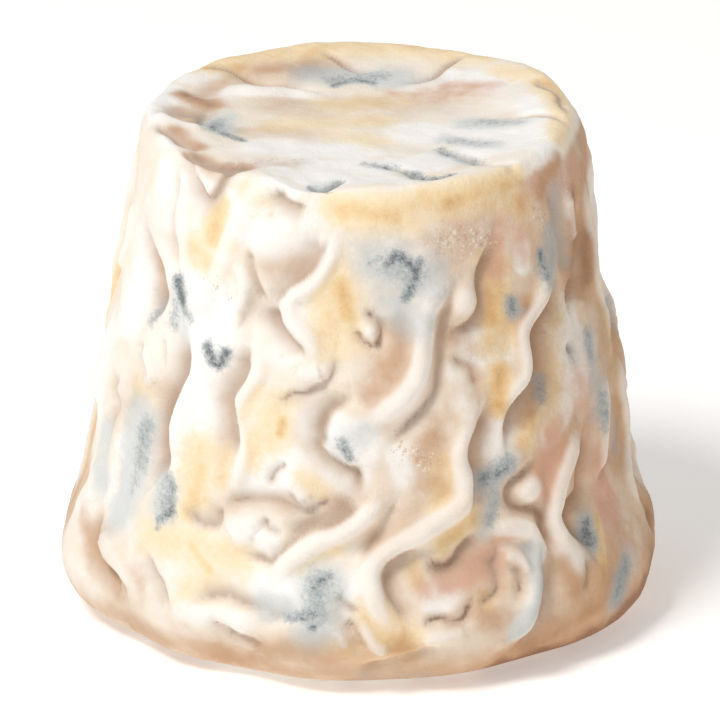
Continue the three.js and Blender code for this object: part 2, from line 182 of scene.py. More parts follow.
# Creases of the side: half widths on the left and the right of the way along, depth, and points.
# A fold that hangs over its crease has the narrow half on that side.
CREASES = [
    (0.6, 2.6, 1.1, [(-7, 51), (-8.5, 49.3), (-10.5, 47.8), (-13, 46.6), (-16, 45.7), (-18, 44.6),
                     (-20.5, 43.7)]),
    (0.4, 0.9, 0.9, [(-28, 48.8), (-26.8, 47), (-25.3, 45.6), (-24, 44.5), (-22.5, 43.8)]),
    (0.6, 1.6, 1.1, [(-19.3, 43.3), (-19.2, 41.8), (-17.3, 40.6), (-15, 39.7), (-13, 39),
                     (-12, 38)]),
    (0.9, 0.4, 0.7, [(-26.5, 45.5), (-26.8, 43.8), (-27.5, 42.3), (-28.7, 40.7), (-29.3, 39.7)]),
    (0.5, 2.6, 1.6, [(-66.5, 48.5), (-62, 46.6), (-58, 45), (-54.5, 44), (-52.8, 42.8),
                     (-52.7, 41.3), (-54, 39.7), (-56.5, 38)]),
    (0.6, 1.8, 0.7, [(-57, 55), (-55, 52.5), (-53.5, 50.3), (-52, 48.2), (-50.5, 46.5),
                     (-48.5, 45)]),
    (0.35, 0.35, 0.8, [(-51.3, 36.8), (-50.3, 35), (-49.2, 33.2)]),
    (0.5, 2.4, 1.5, [(-44, 38), (-42.8, 35.8), (-42.5, 34), (-43.2, 32.3), (-45.2, 30.2),
                     (-46.4, 28.2), (-46.3, 26.8), (-45.6, 25.2), (-45.7, 23.1), (-47.3, 21.7),
                     (-49.8, 19.7)]),
    (0.5, 2.6, 1.3, [(-25.6, 38.5), (-25.8, 36.6), (-26.4, 34.9), (-28.1, 33.4), (-28.7, 32.4),
                     (-27.8, 31), (-27, 29.4), (-26.4, 27.8), (-26.3, 26)]),
    (0.4, 1.2, 0.9, [(-19, 33.3), (-16.7, 33.3), (-14.9, 34), (-12.1, 34.2), (-9.8, 35),
                     (-7.9, 35.4), (-6.3, 36.1), (-5.5, 37.2), (-5.2, 38.4)]),
    (0.5, 1.8, 1.2, [(-1.5, 34.5), (-1.7, 33.8), (-3.5, 33), (-5.3, 32.5), (-6.7, 31.5),
                     (-7.3, 30.3), (-7.2, 29.2), (-8, 28.4), (-6.5, 27.4), (-4.2, 26.7),
                     (-2, 26.1), (0, 25.8), (0.7, 24.5), (0.5, 23)]),
    (0.9, 0.5, 0.9, [(-15.3, 26.3), (-17.5, 25.4), (-18.7, 24.4), (-18.8, 23.4)]),
    (1.3, 1.3, 1.0, [(-28.8, 19.5), (-28, 20.7), (-24.2, 21.4), (-20.4, 21.7), (-17.5, 21.7),
                     (-14.5, 21.3), (-11.7, 20.9), (-8.5, 21), (-6, 21.5)]),
    (0.5, 0.9, 0.9, [(-14.5, 23.5), (-13, 22), (-11.5, 21.2), (-10, 21.5), (-7.5, 21.9),
                     (-5.5, 22.6)]),
    (1.8, 0.5, 1.1, [(-39.5, 18.7), (-38, 18), (-36.5, 17.5), (-33.7, 17.4), (-30.9, 17.9),
                     (-29.9, 19.2), (-29, 20.1)]),
    (0.9, 0.9, 0.7, [(-43.5, 16.8), (-41.5, 18.3)]),
    (0.9, 0.4, 0.9, [(-19.8, 20), (-19.6, 18.9), (-18.3, 18.3), (-16, 18.1)]),
    (0.5, 2.0, 1.3, [(0.5, 22), (-1.6, 20.9), (-4, 19.9), (-6, 19.4), (-8.4, 19.3), (-10.2, 18.9),
                     (-12.3, 18.1), (-14, 17.2)]),
    (0.5, 0.8, 1.2, [(-10.2, 18.9), (-12.3, 18.1), (-14, 17.2), (-16.4, 15.8), (-18, 15),
                     (-20.2, 15.1), (-23.6, 15.2)]),
    (1.1, 1.1, 0.8, [(-66, 30), (-70, 27.5), (-66, 26.5), (-70, 23), (-69, 20.5)]),
    (0.6, 0.9, 0.8, [(-60, 35.3), (-56.5, 33.3), (-53, 31.5)]),
    (0.6, 0.6, 0.8, [(-63.5, 20.8), (-62, 19.7), (-63, 17)]),
    (0.5, 2.4, 1.3, [(-65.5, 14), (-64.5, 12), (-63.3, 10.6), (-60.5, 9.6), (-57.5, 9.2),
                     (-54.5, 9), (-52, 8.6), (-50.8, 7.8)]),
    (0.5, 1.8, 1.0, [(-47.5, 12.6), (-46, 11.8), (-44.2, 10.9), (-42.3, 10.2), (-40.6, 9.2),
                     (-38.4, 8.3)]),
    (1.5, 0.5, 1.1, [(-33.5, 9.2), (-30.9, 10), (-28.2, 10.5), (-26.1, 10.6), (-24.3, 10.3),
                     (-21.3, 10), (-18.3, 9.6), (-15.8, 9.2), (-13.8, 9.6), (-11.8, 10.6)]),
    (0.6, 2.0, 0.9, [(-30.5, 7.7), (-28.4, 7.6), (-26.7, 7.2), (-24.9, 6.4), (-21.8, 6),
                     (-19, 5.5)]),
    (0.6, 0.6, 1.1, [(-4.2, 12.2), (-2.6, 11.2), (-1, 10.7), (0.2, 10.2)]),
    (0.7, 1.0, 0.8, [(-2.3, 9.6), (-0.2, 8.5), (0.9, 7.1), (1.8, 6.2)]),
    (0.7, 0.9, 1.05, [(24.5, 45.5), (22.7, 43.5), (20.9, 41.9), (19.8, 40), (19.3, 38),
                      (18.7, 36.3), (18.2, 34.5), (15.9, 32.8), (13, 31.5), (10.7, 30.5),
                      (9.1, 29.6), (7.5, 28.6)]),
    (0.6, 0.6, 1.1, [(2.6, 43.6), (3.4, 42.6), (5.2, 41.9), (5.8, 41), (5, 39.9), (4, 38.9)]),
    (0.5, 0.6, 1.0, [(0.2, 41.3), (1, 40.2), (2.6, 39.6), (3.9, 39.2)]),
    (1.4, 0.5, 1.3, [(35.8, 49.5), (35, 48.6), (33, 47.4), (31.2, 46), (30.6, 44.6), (30.8, 43.2),
                     (29.8, 42), (27.7, 41), (25.2, 40.6), (22.3, 40.3)]),
    (0.9, 0.7, 0.9, [(22.3, 37.6), (24.5, 36.7), (26.9, 36.1), (27.8, 35), (28.1, 33.7)]),
    (1.8, 0.5, 1.4, [(56, 43.3), (54.3, 41.4), (52.3, 40.3), (49.6, 39.6), (47, 38.9), (44.8, 38),
                     (44.1, 37), (44.3, 35.5), (44.2, 34.4), (43, 33.4), (41.2, 32.3),
                     (38.3, 31.3), (36.1, 30.4), (34.9, 29), (34.3, 27.4), (34, 26)]),
    (2.0, 0.5, 1.4, [(73, 48), (70, 45), (66.8, 43), (65, 41.8), (62, 40.9), (60.4, 39.9),
                     (60.2, 38.4)]),
    (1.2, 1.2, 0.7, [(58, 53), (59.5, 50), (60.5, 47.5), (60, 45), (58, 42.5)]),
    (0.45, 0.45, 1.2, [(57.3, 34.6)]),
    (0.7, 0.8, 1.3, [(41, 24.6), (39.8, 23.5), (37.8, 22.8), (35.4, 22.3), (34.1, 21.5),
                     (34.3, 20.3), (35.7, 19.4), (38.2, 18.9), (41, 18.5), (42, 17.4), (42, 16.3),
                     (43, 14.6), (44.5, 13.2)]),
    (1.8, 0.5, 1.3, [(29.5, 31.8), (28.9, 30.6), (27.3, 29.4), (25.7, 28.4), (24.7, 27.2),
                     (24.6, 26), (25.5, 24.9), (25.7, 23.7), (25.2, 22.2), (24.7, 20.8)]),
    (1.2, 0.5, 1.4, [(59.5, 26), (58, 23.4), (55, 20.8), (54, 18.6), (50.5, 17.6), (49, 16.4),
                     (49.6, 15.1), (51.8, 13.8), (53.4, 12.6), (53.8, 11.2)]),
    (0.8, 0.6, 0.8, [(69.5, 20.3), (66, 19.2), (62, 18.8)]),
    (0.6, 0.6, 0.7, [(52, 11.5), (50.8, 9.8), (48.5, 8.3)]),
    (1.0, 1.0, 0.7, [(8.5, 22.5), (5.5, 20), (3, 17.8), (1.2, 15.8)]),
    (1.4, 0.5, 1.1, [(13.5, 16.6), (10.5, 16.5), (8.2, 16), (6.2, 15.3), (5.3, 14), (5.5, 12.8),
                     (6.4, 11.7), (7.9, 10.4), (9.5, 9.2), (10.8, 8.5)]),
    (0.5, 1.0, 1.2, [(15, 15.6), (15.9, 15), (17.2, 14.7), (18.7, 14.7), (20.5, 15.3), (21.5, 16),
                     (23.3, 16.8), (25.5, 17.6)]),
    (0.6, 0.7, 1.2, [(12.9, 8.4), (14.2, 9), (16.3, 9.1), (18, 8.7), (19.6, 8.6), (21.2, 9),
                     (22.2, 9.8), (23.4, 10.7)]),
    (0.5, 1.1, 1.0, [(29.8, 15.6), (29.9, 14.8), (29, 14), (29.4, 13), (29.7, 11.7), (28.6, 10.8),
                     (26.5, 10.2), (24.3, 9.8)]),
    (0.5, 0.5, 0.9, [(32.9, 13.4), (34, 12.4), (34.3, 11.2), (33.8, 10.2)]),
    (1.6, 0.5, 1.2, [(40.5, 14.5), (39.8, 13), (39.3, 11), (38.3, 9), (36.8, 7), (34.5, 5.3),
                     (31.7, 4.3)]),
    (1.2, 0.5, 0.8, [(15.6, 6.4), (13.2, 5.9), (10.8, 5.2), (7.8, 4.6), (3.9, 3.9), (0, 3.4)]),
    (0.5, 1.4, 1.2, [(-21.8, 56), (-20, 55), (-17, 54.4), (-14, 54.4)]),
    (1.6, 0.5, 1.0, [(84, 49), (82.5, 45), (85, 41)]),
    (1.6, 0.5, 1.0, [(84, 35), (82, 30.5), (85, 26), (83, 22)]),
    (0.5, 1.4, 0.9, [(83, 15), (85, 11), (82, 8)]),
    (0.5, 1.6, 1.0, [(-84, 48), (-82, 43), (-85, 38.5)]),
    (0.5, 1.6, 0.9, [(-85, 32), (-83, 27.5), (-85, 23)]),
    (1.4, 0.5, 0.9, [(-82, 17), (-84, 12.5), (-81, 9)]),
]

# Shallow bowls between folds: half width, depth, points
BOWLS = [
    (3.2, 0.2, [(-21, 48.2), (-13, 48.8)]),
    (2.0, 0.5, [(-24.5, 43), (-21, 42.8)]),
    (2.0, 0.25, [(-11, 33), (-9.5, 31)]),
    (2.0, 0.4, [(47, 36.5), (47, 33)]),
    (2.6, 0.35, [(9, 14), (16, 13.3), (24, 14)]),
    (2.6, 0.25, [(-6, 22), (0, 23.5)]),
]

# Creases, ridges and bowls of the top, by places in plan
TOP_CREASES = [
    (1.0, 0.7, 1.0, [(-17.5, 14.3), (-15, 15), (-13.3, 14.3), (-11.5, 12.2), (-9.5, 11.3),
                     (-7.3, 11.4), (-5, 10.3)]),
    (0.6, 0.6, 0.8, [(-4, 19.8), (-2.6, 18.7), (-1.3, 17), (0.2, 16), (1.6, 15.8)]),
    (0.6, 0.6, 0.9, [(12.4, 18.5), (11, 17.7), (9.8, 16.3), (8.6, 14.6), (7, 13.2), (5.5, 12.8)]),
    (0.8, 0.6, 0.8, [(20, 9.5), (20.4, 7.7), (22, 5.8), (22.6, 4.3), (22.6, 2.5), (23.2, -0.5)]),
    (0.6, 0.6, 0.8, [(17.5, -0.2), (19.3, -0.2), (20.5, -0.8), (21.7, -2), (22.8, -3.6)]),
    (0.5, 0.7, 1.1, [(9, -7.5), (10, -8.7), (11.3, -9.7), (12.5, -11.5), (13.2, -13),
                     (14.2, -14.6), (15.5, -15.2), (16.6, -15.2), (17.2, -16.3)]),
    (0.5, 0.7, 0.9, [(2.5, -12.8), (4.5, -14.3), (5.5, -15.8), (6.5, -17.8), (7.8, -19.3),
                     (9, -18.8), (10.7, -18)]),
    (0.5, 0.6, 0.8, [(-5, -20.4), (-3.9, -20.9), (-3, -20.4), (-2.2, -19.4), (-1.5, -18.4)]),
    (0.6, 1.2, 1.2, [(-22.4, -4), (-21.3, -5), (-20, -6.3), (-18.8, -8.2), (-17.7, -9.5)]),
    (0.5, 1.6, 1.2, [(-18, -12.5), (-17.7, -17), (-16.3, -18.3), (-14.6, -17.8), (-13, -16.5)]),
    (2.0, 0.5, 1.1, [(-16.8, 3.5), (-17.3, 0.8), (-19, 0), (-20.8, 0.6)]),
]
TOP_RIDGES = [
    (1.0, 0.6, [(-22.5, -1.5), (-19.5, -3), (-17, -5)]),
    (1.0, 0.5, [(-14, 10), (-11, 9), (-7.5, 10), (-4, 8.3)]),
    (1.4, 0.7, [(-19.5, -14), (-17.5, -20), (-12, -21.3), (-8.5, -21.5)]),
]
TOP_BOWLS = [
    (2.0, 0.9, [(-20, 1.8), (-17.8, 2.4)]),
    (1.6, 0.5, [(-17, 8), (-15.7, 10.5)]),
    (1.9, 1.0, [(-17, -13), (-15.8, -15.5), (-13.7, -15.8)]),
]

# The side that the front hides: two tiers of ridges that wander upwards with a crease beside
# each, and lobes and notches round the foot, all drawn by one seeded rule
BACK_FROM, BACK_TO = 92, 268
BACK_SEED, LOBE_SEED, WIDTH_SEED = 41, 7, 5
BACK_LOBES = 6

# Each tier's lowest and highest end and its count of ridges, and how far an end may shift
BACK_TIERS = [(6, 30, 10), (27, 53, 9)]
BACK_ENDS = 7

# From point to point a ridge climbs by this height and sways by these degrees, and its crease
# stands beside it by these
BACK_RISE, BACK_SWAY, BACK_GAP = 6.5, 4.5, 4.6

# The least of each measure of a hidden fold, and how far above it the draws go
BACK_RIDGE_HALF, BACK_RIDGE_RISE = (1.1, 1.1), (0.7, 0.5)
BACK_CREASE_HALF, BACK_CREASE_DEPTH = (1.4, 1.4), (0.9, 0.5)
BACK_LIP = 0.6

# The height, rise and reach of a lobe and of a notch of the hidden foot
LOBE, NOTCH = (4, 0.8, 8), (2, -0.8, 6)


def make_draw(seed):
    """Draws in 0 to 1 that come out the same each time."""
    state = [seed]

    def draw():
        state[0] = (state[0] * 1664525 + 1013904223) % 4294967296
        return state[0] / 4294967296
    return draw


def back_folds():
    """The hidden side's ridges and creases, in the form of RIDGES and CREASES."""
    draw, width_draw = make_draw(BACK_SEED), make_draw(WIDTH_SEED)

    def drawn(measure):
        return measure[0] + measure[1] * width_draw()

    ridges, creases = [], []
    for low, high, count in BACK_TIERS:
        step = (BACK_TO - BACK_FROM) / count
        for i in range(count):
            middle = BACK_FROM + (i + 0.3 + 0.4 * draw()) * step
            bottom = low + BACK_ENDS * draw()
            top = high - BACK_ENDS * draw()
            rows = int((top - bottom) / BACK_RISE + 0.5)
            line = [(middle + BACK_SWAY * (2 * draw() - 1), bottom + (top - bottom) * row / rows)
                    for row in range(rows + 1)]
            beside = BACK_GAP * (-1 if draw() < 0.5 else 1)
            ridges.append((drawn(BACK_RIDGE_HALF), drawn(BACK_RIDGE_RISE), line))
            wide = drawn(BACK_CREASE_HALF)
            halves = (BACK_LIP, wide) if beside > 0 else (wide, BACK_LIP)
            creases.append((*halves, drawn(BACK_CREASE_DEPTH),
                            [(degrees + beside, height) for degrees, height in line[:-1]]))
    return ridges, creases


def back_lobes():
    """The hidden foot's lobes, with a notch after each, in the form of LUMPS."""
    draw = make_draw(LOBE_SEED)
    step = (BACK_TO - BACK_FROM) / BACK_LOBES
    lumps = []
    for i in range(BACK_LOBES):
        degrees = BACK_FROM + (i + 0.2 + 0.3 * draw()) * step
        for turn, (height, rise, reach) in ((degrees, LOBE), (degrees + 0.5 * step, NOTCH)):
            lumps.append((turn, height, rise * (0.6 + 0.6 * draw()), reach))
    return lumps


# Points of a stroke stand this far apart, and beyond this many half widths it has no effect.
# A tapered one starts and ends at a share of its strength and gains the rest quickly.
STROKE_STEP = 0.4
STROKE_REACH = 3
END_SHARE, END_GAIN = 0.3, 4.5


def nearness(points, outward, line, left, right, tapered, power):
    """1 on a line, dying away by its left or right half width, and at its ends if tapered."""
    reach = STROKE_REACH * max(left, right)
    near = np.all((points > line.min(axis=0) - reach) & (points < line.max(axis=0) + reach), axis=1)
    result = np.zeros(len(points))
    if near.any():
        offset = points[near][:, None] - line[None]
        away = np.linalg.norm(offset, axis=2)
        closest = away.argmin(axis=1)
        half = np.full(len(closest), float(left))
        if len(line) > 1:
            onward = np.gradient(line, axis=0)[closest]
            leftward = np.cross(outward[near], onward)
            here = offset[np.arange(len(closest)), closest]
            half[np.einsum("ij,ij->i", leftward, here) < 0] = right
        value = np.exp(-(away.min(axis=1) / half) ** power)
        if tapered and len(line) > 1:
            place = closest / (len(line) - 1)
            value *= np.minimum(1, END_SHARE + END_GAIN * np.minimum(place, 1 - place))
        result[near] = value
    return result


def strongest(points, outward, strokes, place, tapered=True, power=2.0):
    """The strongest of many strokes at each point. A stroke has one half width, or a left and a
    right one, then its strength, then its line."""
    result = np.zeros(len(points))
    for *halves, strength, line in strokes:
        near = nearness(points, outward, smooth_line(place(line), STROKE_STEP),
                        halves[0], halves[-1], tapered, power)
        result = np.maximum(result, strength * near)
    return result


def waves(points, size, seed):
    """Soft noise, about a size from crest to crest. Each seed looks at another part of it."""
    offset = Vector((seed * 17.3, seed * 5.1, seed * 9.7))
    return np.array([noise.noise(Vector(point) / size + offset) for point in points])


TINY = 1e-6


def cube_to_body(cube):
    """Rounds a cube from -1 to 1 off into the smooth cheese: places and outward normals.

    The climb over the cube goes from 0 in the middle of its underside to 1 at the edge, 3 at the
    top of its side and 4 in the middle of its top."""
    x, y, z = cube.T
    reach = np.maximum(np.abs(x), np.abs(y))
    wide = np.abs(x) >= np.abs(y)
    by_x = np.where(wide & (x != 0), x, 1)
    by_y = np.where(wide, 1, y)
    turn = np.where(wide, np.pi / 4 * y / by_x + np.pi * (x < 0),
                    np.pi / 2 - np.pi / 4 * x / by_y + np.pi * (y < 0))
    turn -= FRONT_PULL * np.sin(turn + np.pi / 2)
    climb = np.where(reach > 1 - TINY, 2 + z, np.where(z < 0, reach, 4 - reach))
    share = np.interp(climb, [UNDER_SHARE, 3, 4], [0, EDGE / (len(OUTLINE) - 1), 1])
    shares = np.linspace(0, 1, len(OUTLINE))
    lean = np.gradient(OUTLINE, axis=0)
    lean /= np.linalg.norm(lean, axis=1)[:, None]
    radius, height, up, out = [
        np.interp(share, shares, part) for part in (*OUTLINE.T, -lean[:, 0], lean[:, 1])]
    under = climb < UNDER_SHARE + TINY
    radius = np.where(under, climb / UNDER_SHARE * REST_RADIUS, radius)
    out = np.where(under, 0, out)
    up = np.where(under, -1, up)
    ring = np.stack([np.cos(turn), np.sin(turn)], axis=1)
    places = np.column_stack([ring * radius[:, None], height])
    normals = np.column_stack([ring * out[:, None], up])
    return places, normals, under


# How flat-topped a ridge is and how sharp a crease: powers of the way they die away
RIDGE_POWER, CREASE_POWER = 2.6, 1.35

# The rind's unevenness between the folds: height, size from crest to crest, and seed
UNEVEN = [(0.28, 5.5, 1), (0.12, 2.4, 2), (0.05, 1.1, 3)]

# Relief starts this far above the flat underside and has its full height further up
REST_CLEARANCE, RELIEF_START = 0.8, 4.0

bm = bmesh.new()
bmesh.ops.create_cube(bm, size=2)
bmesh.ops.subdivide_edges(bm, edges=bm.edges[:], cuts=CUTS, use_grid_fill=True)
body = bpy.data.meshes.new("cheese_body")
bm.to_mesh(body)
bm.free()

cube = np.empty(len(body.vertices) * 3)
body.vertices.foreach_get("co", cube)
smooth, outward, under = cube_to_body(cube.reshape(-1, 3))

back_ridges, back_creases = back_folds()
swell = np.zeros(len(smooth))
for degrees, height, rise, reach in LUMPS + back_lobes():
    away = np.linalg.norm(smooth - on_side([(degrees, height)]), axis=1)
    swell += rise * np.exp(-(away / reach) ** 2)
ridge = np.maximum(
    strongest(smooth, outward, RIDGES + back_ridges, on_side, power=RIDGE_POWER),
    strongest(smooth, outward, TOP_RIDGES, on_top, power=RIDGE_POWER))
crease = np.maximum(
    strongest(smooth, outward, CREASES + back_creases, on_side, power=CREASE_POWER),
    strongest(smooth, outward, TOP_CREASES, on_top, power=CREASE_POWER))
bowl = np.maximum(
    strongest(smooth, outward, BOWLS, on_side, tapered=False),
    strongest(smooth, outward, TOP_BOWLS, on_top, tapered=False))
uneven = sum(rise * waves(smooth, size, seed) for rise, size, seed in UNEVEN)
fade = np.clip((smooth[:, 2] - REST_CLEARANCE) / (RELIEF_START - REST_CLEARANCE), 0, 1)
fade = fade * fade * (3 - 2 * fade)
fade[under] = 0
swell[under] = 0
outward[:, 2] *= np.where(under, 1, fade)
relief = swell + fade * (ridge - crease - bowl + uneven)
shaped = smooth + outward * relief[:, None]
shaped[:, 2] = np.where(under, 0, np.maximum(shaped[:, 2], 0))
middle = (shaped.min(axis=0) + shaped.max(axis=0)) / 2
shaped[:, :2] -= middle[:2]
body.vertices.foreach_set("co", (shaped * MM).ravel())
body.shade_smooth()

